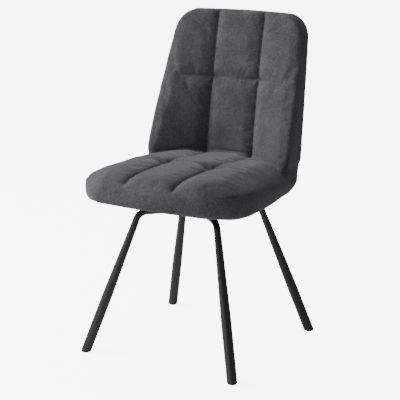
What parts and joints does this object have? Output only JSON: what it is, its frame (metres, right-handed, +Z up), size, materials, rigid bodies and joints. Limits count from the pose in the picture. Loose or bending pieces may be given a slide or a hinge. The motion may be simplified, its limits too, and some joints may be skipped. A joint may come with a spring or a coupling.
{
  "type": "dining chair",
  "caption": "Upholstered dining chair with a channel-quilted seat and curved back on a swivel base of splayed black steel tube legs.",
  "frame": {"origin": "on the floor, on the swivel axis, midway between the four feet", "axes": "+Z up, -Y towards the front of the chair, +X to the right as seen from the front"},
  "size_m": [0.48, 0.5539, 0.875],
  "materials": {
    "powder_coat": "fine-textured matt black powder coat",
    "black_steel": "black e-coated pressed steel",
    "zinc_steel": "bright zinc plate",
    "bearing_steel": "polished bearing steel",
    "nylon": "moulded black nylon",
    "plywood": "raw birch plywood",
    "foam": "cut polyurethane foam",
    "upholstery_fabric": "dark grey mottled chenille weave, quilted",
    "dust_cloth": "black spun-bonded dust cloth"
  },
  "bodies": {
    "base": {"ball_cage": "nylon", "base_bolts": "zinc_steel", "base_nuts": "zinc_steel", "base_plate": "powder_coat", "bearing_balls": "bearing_steel", "glide_front_left": "nylon", "glide_front_right": "nylon", "glide_rear_left": "nylon", "glide_rear_right": "nylon", "hub_tube": "powder_coat", "leg_front_left": "powder_coat", "leg_front_right": "powder_coat", "leg_rear_left": "powder_coat", "leg_rear_right": "powder_coat", "pivot_bolt": "zinc_steel", "pivot_nut": "zinc_steel", "pivot_washer": "nylon", "swivel_lower_plate": "black_steel"},
    "seat": {"back_bracket_left": "black_steel", "back_bracket_right": "black_steel", "back_cover": "upholstery_fabric", "back_foam": "foam", "back_panel": "plywood", "bracket_screws": "zinc_steel", "cover_staples": "zinc_steel", "dust_cover": "dust_cloth", "rear_cover": "upholstery_fabric", "rear_pad": "foam", "seat_board": "plywood", "seat_bolt_washers": "zinc_steel", "seat_bolts": "zinc_steel", "seat_cover": "upholstery_fabric", "seat_foam": "foam", "side_cover_left": "upholstery_fabric", "side_cover_right": "upholstery_fabric", "swivel_upper_plate": "black_steel", "tee_nuts": "zinc_steel"}
  },
  "joints": [
    {"name": "seat_swivel", "type": "hinge", "parent": "base", "child": "seat", "pos_m": [0, 0, 0.39975], "axis": [0, 0, 1], "continuous": true}
  ]
}
